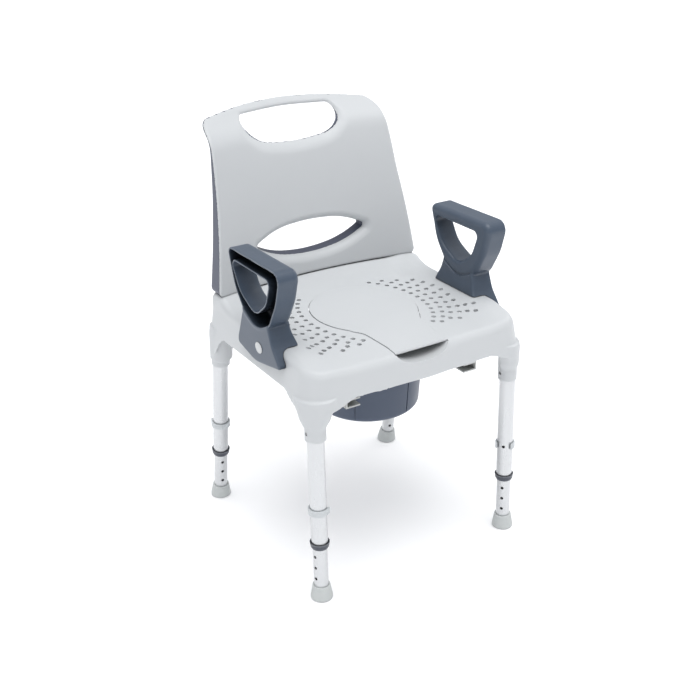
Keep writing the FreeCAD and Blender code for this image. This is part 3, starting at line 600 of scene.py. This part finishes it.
def tonguePoints(grow, front):
    half = hatch["tongue"] + grow
    flare = (-216 - front) / 18
    return roundedOutline(mirrored([(half + flare, front, 0.5), (half, -226, 60), (half + 8, -156, 40),
                                    (half + 27, -127, 20), (half, -90, 2)]))


def boxPoints(low, high):
    return [(low[0], low[1]), (high[0], low[1]), (high[0], high[1]), (low[0], high[1])]


# ---- drain holes, set out by a tree of nodes on curves round the opening ----

holeRows = [  # half width and half length of the curve, first and last angle, number of holes
    (127, 156, 47.4, -50.0, 13), (147, 171, 39.2, -49.0, 12), (167, 180, 31.3, -44.0, 10),
    (184, 200, 22.2, -42.2, 9), (200, 216, -26.3, -33.2, 2), (216, 234, -26.8, -33.4, 2),
]
holes = {"radius": 4.9, "centre": -58, "low": 465, "high": 520, "sides": 20}


def drainTree():
    tree = bpy.data.node_groups.new("drainHoles", "GeometryNodeTree")
    inputs = {"Half Width": "NodeSocketFloat", "Half Length": "NodeSocketFloat", "First Angle": "NodeSocketFloat",
              "Angle Step": "NodeSocketFloat", "Count": "NodeSocketInt", "Radius": "NodeSocketFloat",
              "Side": "NodeSocketFloat", "Centre": "NodeSocketFloat", "Middle Height": "NodeSocketFloat",
              "Depth": "NodeSocketFloat"}
    for name, kind in inputs.items():
        tree.interface.new_socket(name, in_out="INPUT", socket_type=kind)
    tree.interface.new_socket("Geometry", in_out="OUTPUT", socket_type="NodeSocketGeometry")
    graph = Graph(tree)
    source = tree.nodes.new("NodeGroupInput")
    given = {name: Link(graph, source.outputs[name]) for name in inputs}
    line = graph.add("GeometryNodeMeshLine", None, {"Count": given["Count"]})
    turn = given["First Angle"] + graph.add("GeometryNodeInputIndex") * given["Angle Step"]
    x = turn.maths("COSINE", turn) * given["Half Width"] * given["Side"]
    y = turn.maths("SINE", turn) * given["Half Length"] + given["Centre"]
    place = graph.add("ShaderNodeCombineXYZ", None, {"X": x, "Y": y, "Z": given["Middle Height"]})
    dots = graph.add("GeometryNodeSetPosition", None, {"Geometry": line, "Position": place})
    drill = graph.add("GeometryNodeMeshCylinder", None,
                      {"Vertices": holes["sides"], "Radius": given["Radius"], "Depth": given["Depth"]})
    drills = graph.add("GeometryNodeInstanceOnPoints", None, {"Points": dots, "Instance": drill})
    real = graph.add("GeometryNodeRealizeInstances", None, {"Geometry": drills})
    painted = graph.add("GeometryNodeSetMaterial", None, {"Geometry": real, "Material": finishes["lightShell"]})
    out = tree.nodes.new("NodeGroupOutput")
    tree.links.new(painted.socket, out.inputs["Geometry"])
    return tree


def setInputs(modifier, values):
    for item in modifier.node_group.interface.items_tree:
        if item.item_type == "SOCKET" and item.in_out == "INPUT" and item.name in values:
            modifier[item.identifier] = values[item.name]


def drillHoles(piece):
    tree = drainTree()
    for halfWidth, halfLength, first, last, count in holeRows:
        for side in sides.values():
            tool = addObject("drills", bpy.data.meshes.new("drills"))
            modifier = tool.modifiers.new("rows", "NODES")
            modifier.node_group = tree
            setInputs(modifier, {
                "Half Width": halfWidth * mm, "Half Length": halfLength * mm, "First Angle": math.radians(first),
                "Angle Step": math.radians(last - first) / (count - 1), "Count": count,
                "Radius": holes["radius"] * mm, "Side": float(side), "Centre": holes["centre"] * mm,
                "Middle Height": (holes["low"] + holes["high"]) / 2 * mm,
                "Depth": (holes["high"] - holes["low"]) * mm})
            plainMesh(tool)
            cutAway(piece, tool)


slots = {"postLow": (127.4, 133.4), "postHigh": (168.6, 144.6), "tenonLow": (211.4, -118.6),
         "tenonHigh": (228.6, -37.4)}
scoop = {"centre": (0, -262, 485), "radii": (60, 46, 23), "wall": 3.5}


def scoopDistance(x, y, z, grow=0.0):
    cx, cy, cz = scoop["centre"]
    rx, ry, rz = (r + grow for r in scoop["radii"])
    k = np.sqrt(((x - cx) / rx) ** 2 + ((y - cy) / ry) ** 2 + ((z - cz) / rz) ** 2)
    return (k - 1) * np.minimum(rz, ry) * 0.9


def seatWithScoop(x, y, z):
    shell = seatField(x, y, z)
    lining = np.maximum(scoopDistance(x, y, z, scoop["wall"]), seatOutside(x, y, z))
    return join(shell, lining, 1.5)


def makeSeat():
    low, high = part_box("seat_shell")
    piece = meshFromField("seatShell", seatWithScoop, np.array(low) / mm - 12, np.array(high) / mm + 12, seat["step"])
    floor = seat["top"] - hatch["depth"]
    cutAway(piece, prism("recess", ovalPoints(hatch["halfWidth"], hatch["halfLength"], hatch["centre"]), floor, 530))
    cutAway(piece, prism("tongueRecess", tonguePoints(0, seat["front"] - 20), floor, 530))
    well = ovalPoints(hatch["halfWidth"] - hatch["ledge"], hatch["halfLength"] - hatch["ledge"], hatch["centre"])
    cutAway(piece, prism("well", well, 400, 530))
    bowl = meshFromField("scoop", scoopDistance, (-64, -312, 458), (64, -212, 512), 1.6)
    cutAway(piece, bowl)
    for side in sides.values():
        for name, top in (("post", 530), ("tenon", 530)):
            a, b = slots[name + "Low"], slots[name + "High"]
            across = sorted((side * a[0], side * b[0]))
            points = boxPoints((across[0], a[1]), (across[1], b[1]))
            cutAway(piece, prism(name + "Slot", points, 474, top))
    for leg in legs:
        centre, axis = legs[leg]
        cutAway(piece, rod("bore", centre + axis * (390 - centre[2]) / axis[2], axis, sockets["bore"], 83, 64))
    for leg in legs:
        cutAway(piece, rod("screwHole", screwPlace(leg), (1, 0, 0), crossScrew["hole"], 70, 24))
    drillHoles(piece)
    return finishPiece(piece, "chair", "lightShell", ["seat_shell"])


makeSeat()


def keyholeDistance(x, y, grow):
    k = np.hypot(x / hatch["halfWidth"], (y - hatch["centre"]) / hatch["halfLength"])
    oval = (k - 1) * hatch["halfWidth"]
    tongue = outlineDistance(tonguePoints(0, seat["front"] + 2), x, y)
    return join(oval, tongue, 2.0) - grow


def coverField(x, y, z):
    plan = keyholeDistance(x, y, -hatch["gap"])
    top = z - seatTop(x * 0.6, np.minimum(y, 40)) - hatch["proud"]
    return meet(meet(plan, top, 1.1), seat["top"] - hatch["depth"] + 0.4 - z, 0.6)


def makeCover():
    low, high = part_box("seat_cover")
    piece = meshFromField("seatCover", coverField, np.array(low) / mm - 4, np.array(high) / mm + 5, 1.6)
    return finishPiece(piece, "seat_cover", "lightShell", ["seat_cover"])


makeCover()


# ---- backrest ----

backrest = {
    "heights": (508, 560, 620, 700, 780, 802, 820, 835, 850, 872),
    "faces": (103, 110, 120.5, 141.3, 165.2, 176, 195, 219, 238, 258),
    "curve": 28, "frontWall": 4.5, "rearWall": 3.5, "gap": 0.9, "edgeRound": 6, "rearRound": 7, "inset": 1.4,
    "depthHeights": (508, 560, 640, 720, 780, 812, 860), "depths": (46, 42, 34, 25, 17, 12, 11.5),
    "widthHeights": (508, 640, 780, 856), "halfWidths": (240, 223, 203, 192), "step": 2.1,
}
backOutline = roundedOutline(mirrored([(0, 861, 1300), (204, 840, 28), (215.5, 700, 800), (241, 509, 13)]), 14)
gripOpening = roundedOutline(mirrored([(0, 838.5, 900), (117, 835, 12), (96, 789, 60), (0, 772, 330)]), 12)
lumbarOpening = roundedOutline(mirrored([(0, 620, 500), (80, 614.5, 200), (142, 588, 9), (92, 556, 190),
                                         (0, 541, 300)]), 12)
faceAt = splineThrough(backrest["heights"], backrest["faces"])
depthAt = splineThrough(backrest["depthHeights"], backrest["depths"])


def backDepth(x, y, z):
    # depth behind the sitter's face of the backrest, square to it
    half = np.interp(z, backrest["widthHeights"], backrest["halfWidths"])
    face = faceAt(z) + backrest["curve"] * (1 - (x / half) ** 2)
    slopeZ = (faceAt(z + 1) - faceAt(z - 1)) / 2
    slopeX = -2 * backrest["curve"] * x / half ** 2
    return (y - face) / np.sqrt(1 + slopeX ** 2 + slopeZ ** 2)


def openings(x, z, depth):
    # both openings narrow towards the rear, the lower one more
    grip = outlineDistance(gripOpening, x, z) + 0.15 * np.clip(depth, 0, 12)
    lumbar = outlineDistance(lumbarOpening, x, z) + 0.16 * np.clip(depth, 0, 34)
    return grip, lumbar


def frontReach(z, grip, lumbar):
    # how far back the front shell goes: one wall, but nearly right through at the grip and part way lower down
    total = depthAt(z)
    wall = backrest["frontWall"]
    reach = wall + np.maximum(total - 3.4 - wall, 0) * (1 - ramp(grip, 11, 15))
    return reach + np.maximum(total * 0.42 - wall, 0) * (1 - ramp(lumbar, 11, 17))


def frontBody(x, y, z):
    depth = backDepth(x, y, z)
    edge = outlineDistance(backOutline, x, z)
    grip, lumbar = openings(x, z, depth)
    body = meet(edge, -depth, backrest["edgeRound"])
    body = meet(body, -grip, 9 + 15 * ramp(834 - z, 0, 34))
    body = meet(body, -lumbar, 14.0)
    return depth, edge, grip, lumbar, body


def frontShellField(x, y, z):
    depth, edge, grip, lumbar, body = frontBody(x, y, z)
    shell = np.maximum(body, -(body + backrest["frontWall"]))
    return meet(shell, depth - frontReach(z, grip, lumbar), 1.4)


def rearShellField(x, y, z):
    depth, edge, grip, lumbar, body = frontBody(x, y, z)
    total = depthAt(z)
    outside = meet(edge + backrest["inset"], depth - total, backrest["rearRound"])
    outside = meet(outside, -(grip - 3.0), 2.0)
    outside = meet(outside, -(lumbar - 1.0), 3.0)
    shell = np.maximum(outside, -(outside + backrest["rearWall"]))
    behind = frontReach(z, grip, lumbar) + backrest["gap"] - depth
    shell = np.maximum(shell, np.minimum(behind, body + backrest["frontWall"] + backrest["gap"]))
    for side in sides.values():
        low, high = sorted((side * 128, side * 168))
        shell = np.minimum(shell, boxDistance(x, y, z, (low, 134, 450), (high, 144, 524)))
    return shell


def makeBackrest():
    for name, field, node, finish, slotName in (
            ("backrestFront", frontShellField, "backrest_front_shell", "lightShell", "light_shell"),
            ("backrestRear", rearShellField, "backrest_rear_shell", "slateShell", "slate_shell")):
        low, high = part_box(node)
        piece = meshFromField(name, field, np.array(low) / mm - 8, np.array(high) / mm + 8, backrest["step"])
        finishPiece(piece, "backrest", finish, [node])


makeBackrest()


# ---- armrests ----

armrest = {"inner": 212, "outer": 258, "wall": 3, "saddleInner": 205, "saddleOuter": 259.0, "round": 12,
           "gripRound": 7, "step": 1.6}
loopOutline = roundedOutline([(22, 654, 12), (-2, 580, 90), (-34, 540, 40), (-84, 516.5, 60),
                              (-134, 541, 40), (-163, 594, 110), (-181, 659, 20)], 9)
gripOutline = roundedOutline([(9, 631.5, 11), (-24, 576, 60), (-81, 549.5, 32), (-122, 581, 50),
                              (-141, 633, 10)], 9)
saddleOutline = roundedOutline([(-36, 556, 6), (-8, 480, 8), (-7, 466, 8), (-75, 451, 80), (-173, 470, 5),
                                (-142, 507, 50), (-122, 556, 6)], 9)


def armrestField(side):
    def field(x, y, z):
        across = x * side
        loop = outlineDistance(loopOutline, y, z)
        grip = outlineDistance(gripOutline, y, z)
        core = meet(loop, armrest["inner"] - across, armrest["round"])
        core = meet(core, -grip, armrest["gripRound"])
        shell = np.maximum(core, -(core + armrest["wall"]))
        shell = meet(shell, across - armrest["outer"], 1.0)
        saddle = outlineDistance(saddleOutline, y, z)
        flare = 7 * ramp(530 - z, 0, 34)
        saddle = meet(saddle, armrest["inner"] - 1 - flare - across, 5.0)
        saddle = meet(saddle, across - armrest["saddleOuter"] - 0.6 * ramp(520 - z, 0, 60), 3.0)
        saddle = np.maximum(saddle, -(loop + armrest["wall"]))
        seatGap = 0.6 - seatOutside(x, y, z)
        saddle = np.maximum(saddle, seatGap)
        tenon = boxDistance(across, y, z, (212, -118, 463), (228, -38, 503))
        return np.minimum(join(shell, saddle, 4.0), tenon)
    return field


def makeArmrests():
    for name, side in sides.items():
        low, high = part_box("armrest_" + name)
        piece = meshFromField("armrest" + name.capitalize(), armrestField(side), np.array(low) / mm - 11,
                              np.array(high) / mm + 6, armrest["step"])
        finishPiece(piece, "armrest_" + name, "slateArmrest", ["armrest_" + name])


makeArmrests()


# ---- spring clips: open rings round the tubes ----

clipRing = {"inner": 16.55, "outer": 20.2, "height": 13, "mouth": 52, "round": 1.2, "step": 0.8, "pinHead": 4.6,
            "lip": 2.3}


def makeClips():
    for leg in legs:
        node = "clip_" + leg
        low, high = (np.array(corner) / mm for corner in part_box(node))
        pull = np.array(next(j["axis"] for j in frame["joints"] if j["name"] == node + "_pull"), float)
        centre, axis = legs[leg]
        middle = centre + axis * ((low[2] + high[2]) / 2 - centre[2]) / axis[2]
        sideways = np.cross(axis, pull)
        angle = math.radians(clipRing["mouth"])
        lipReach = clipRing["outer"] - 0.4

        def field(x, y, z):
            offset = (x - middle[0], y - middle[1], z - middle[2])
            u, w, h = (sum(o * d for o, d in zip(offset, direction)) for direction in (pull, sideways, axis))
            across = np.hypot(u, w)
            half = clipRing["height"] / 2
            ring = meet(across - clipRing["outer"], np.abs(h) - half, clipRing["round"])
            ring = meet(ring, clipRing["inner"] - across, 0.5)
            ring = meet(ring, -u * math.sin(angle) - np.abs(w) * math.cos(angle), 1.3)
            lip = np.hypot(u + math.cos(angle) * lipReach, np.abs(w) - math.sin(angle) * lipReach)
            ring = join(ring, meet(lip - clipRing["lip"], np.abs(h) - half, clipRing["round"]), 1.5)
            button = meet(np.hypot(w, h) - clipRing["pinHead"], np.abs(u - clipRing["outer"] + 1) - 1.7, 0.9)
            return join(ring, button, 0.6)

        piece = meshFromField("clip" + "".join(word.capitalize() for word in leg.split("_")), field,
                              middle - 26, middle + 26, clipRing["step"])
        finishPiece(piece, node, "clipPlastic", [node])


makeClips()


# ---- bucket: turned body, with grooves set round it by a tree of nodes ----

bucket = {"baseRound": 12, "wall": 2.5, "base": 107, "mouth": 116, "flange": 147, "flangeThick": 4, "bead": 2.6,
          "step": 2.2}
bucketGrooves = {"count": 6, "radius": 110.6, "wide": 2.8, "deep": 3.0, "tall": 88, "firstAngle": 45, "low": 297}


def bucketField(x, y, z):
    low, high = (np.array(corner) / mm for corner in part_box("bucket"))
    centre = (low[1] + high[1]) / 2
    across = np.hypot(x, y - centre)
    taper = (bucket["mouth"] - bucket["base"]) / (high[2] - low[2])
    side = across - bucket["base"] - (z - low[2]) * taper
    outside = meet(side, low[2] - z, bucket["baseRound"])
    body = meet(np.maximum(outside, -(outside + bucket["wall"])), z - high[2], 1.2)
    bead = np.hypot(side + 0.5, z - high[2] + bucket["bead"]) - bucket["bead"]
    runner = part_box("bucket_rail_left")[0][2] / mm + 3.4 + bucket["flangeThick"] / 2
    flange = meet(meet(across - bucket["flange"], np.abs(z - runner) - bucket["flangeThick"] / 2, 0.8), -side - 1, 0.5)
    return join(join(body, bead, 1.0), flange, 2.5)


def grooveTree():
    tree = bpy.data.node_groups.new("bucketGrooves", "GeometryNodeTree")
    inputs = {"Count": "NodeSocketInt", "Radius": "NodeSocketFloat", "First Angle": "NodeSocketFloat",
              "Centre": "NodeSocketFloat", "Middle Height": "NodeSocketFloat", "Lean": "NodeSocketFloat",
              "Size": "NodeSocketVector"}
    for name, kind in inputs.items():
        tree.interface.new_socket(name, in_out="INPUT", socket_type=kind)
    tree.interface.new_socket("Geometry", in_out="OUTPUT", socket_type="NodeSocketGeometry")
    graph = Graph(tree)
    source = tree.nodes.new("NodeGroupInput")
    given = {name: Link(graph, source.outputs[name]) for name in inputs}
    line = graph.add("GeometryNodeMeshLine", None, {"Count": given["Count"]})
    turn = given["First Angle"] + graph.add("GeometryNodeInputIndex") * (2 * math.pi) / given["Count"]
    x = turn.maths("COSINE", turn) * given["Radius"]
    y = turn.maths("SINE", turn) * given["Radius"] + given["Centre"]
    place = graph.add("ShaderNodeCombineXYZ", None, {"X": x, "Y": y, "Z": given["Middle Height"]})
    points = graph.add("GeometryNodeSetPosition", None, {"Geometry": line, "Position": place})
    block = graph.add("GeometryNodeMeshCube", None,
                      {"Size": given["Size"], "Vertices X": 2, "Vertices Y": 2, "Vertices Z": 2})
    facing = graph.add("ShaderNodeCombineXYZ", None, {"Y": given["Lean"], "Z": turn})
    cutters = graph.add("GeometryNodeInstanceOnPoints", None,
                        {"Points": points, "Instance": block, "Rotation": facing})
    real = graph.add("GeometryNodeRealizeInstances", None, {"Geometry": cutters})
    painted = graph.add("GeometryNodeSetMaterial", None, {"Geometry": real, "Material": finishes["bucketPlastic"]})
    out = tree.nodes.new("NodeGroupOutput")
    tree.links.new(painted.socket, out.inputs["Geometry"])
    return tree


def makeBucket():
    low, high = (np.array(corner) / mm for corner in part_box("bucket"))
    piece = meshFromField("bucket", bucketField, low - 5, high + 5, bucket["step"])
    cutters = addObject("grooves", bpy.data.meshes.new("grooves"))
    modifier = cutters.modifiers.new("grooves", "NODES")
    modifier.node_group = grooveTree()
    lean = math.atan2(bucket["mouth"] - bucket["base"], high[2] - low[2])
    setInputs(modifier, {
        "Count": bucketGrooves["count"], "Radius": bucketGrooves["radius"] * mm,
        "First Angle": math.radians(bucketGrooves["firstAngle"]), "Centre": (low[1] + high[1]) / 2 * mm,
        "Middle Height": (bucketGrooves["low"] + bucketGrooves["tall"] / 2) * mm, "Lean": lean,
        "Size": (bucketGrooves["deep"] * mm, bucketGrooves["wide"] * mm, bucketGrooves["tall"] * mm)})
    plainMesh(cutters)
    cutAway(piece, cutters)
    finishPiece(piece, "bucket", "bucketPlastic", ["bucket"])


makeBucket()


# ---- cross screws, repeated at both ends of a shank by a tree of nodes ----

def screwTree():
    tree = bpy.data.node_groups.new("crossScrews", "GeometryNodeTree")
    inputs = {"Place": "NodeSocketVector", "Reach": "NodeSocketFloat", "Shank Radius": "NodeSocketFloat",
              "Head Radius": "NodeSocketFloat", "Head Depth": "NodeSocketFloat"}
    for name, kind in inputs.items():
        tree.interface.new_socket(name, in_out="INPUT", socket_type=kind)
    tree.interface.new_socket("Geometry", in_out="OUTPUT", socket_type="NodeSocketGeometry")
    graph = Graph(tree)
    source = tree.nodes.new("NodeGroupInput")
    given = {name: Link(graph, source.outputs[name]) for name in inputs}
    lying = (0, math.pi / 2, 0)
    end = graph.add("ShaderNodeCombineXYZ", None, {"X": given["Reach"]})
    start = graph.add("ShaderNodeVectorMath", {"operation": "SCALE"}, {0: end, 3: -1.0})
    line = graph.add("GeometryNodeMeshLine", {"mode": "END_POINTS"},
                     {"Count": 2, "Start Location": start, "Offset": end})
    head = graph.add("GeometryNodeMeshCylinder", None,
                     {"Vertices": 28, "Radius": given["Head Radius"], "Depth": given["Head Depth"]})
    heads = graph.add("GeometryNodeInstanceOnPoints", None, {"Points": line, "Instance": head, "Rotation": lying})
    shank = graph.add("GeometryNodeMeshCylinder", None,
                      {"Vertices": 24, "Radius": given["Shank Radius"], "Depth": given["Reach"] * 2})
    turned = graph.add("GeometryNodeTransform", None, {"Geometry": shank, "Rotation": lying})
    both = graph.tree.nodes.new("GeometryNodeJoinGeometry")
    tree.links.new(heads.socket, both.inputs["Geometry"])
    tree.links.new(turned.socket, both.inputs["Geometry"])
    moved = graph.add("GeometryNodeTransform", None,
                      {"Geometry": Link(graph, both.outputs[0]), "Translation": given["Place"]})
    real = graph.add("GeometryNodeRealizeInstances", None, {"Geometry": moved})
    painted = graph.add("GeometryNodeSetMaterial", None, {"Geometry": real, "Material": finishes["screwSteel"]})
    out = tree.nodes.new("NodeGroupOutput")
    tree.links.new(painted.socket, out.inputs["Geometry"])
    return tree


def makeScrews():
    tree = screwTree()
    together = bmesh.new()
    for leg in legs:
        screw = addObject("screw", bpy.data.meshes.new("screw"))
        modifier = screw.modifiers.new("screw", "NODES")
        modifier.node_group = tree
        setInputs(modifier, {
            "Place": tuple(screwPlace(leg) * mm), "Reach": crossScrew["reach"] * mm,
            "Shank Radius": crossScrew["shank"] * mm, "Head Radius": crossScrew["head"] * mm,
            "Head Depth": crossScrew["headDepth"] * mm})
        plainMesh(screw)
        together.from_mesh(screw.data)
        bpy.data.objects.remove(screw)
    mesh = bpy.data.meshes.new("legScrews")
    together.to_mesh(mesh)
    together.free()
    finishPiece(addObject("legScrews", mesh), "chair", "screwSteel", ["leg_screws"])


makeScrews()


# ---- nodes carried over from the frame ----

carried = {
    "upper_tube": "anodisedTube", "lower_tube": "anodisedTube", "collar": "collarPlastic", "clip": "clipPlastic",
    "foot": "footRubber", "bucket_rail": "railPlastic", "rail_screws": "screwSteel", "leg_screws": "screwSteel",
    "bucket_handle": "handleSteel", "armrest_badge": "badgePlastic", "bucket": "bucketPlastic",
}


def paintCarriedNodes():
    for name, node in frame["nodes"].items():
        prefix = max((p for p in carried if name.startswith(p)), key=len, default=None)
        if prefix and not node.hide_render:
            for slot in node.material_slots:
                slot.material = finishes[carried[prefix]]


paintCarriedNodes()
print("carried nodes painted")
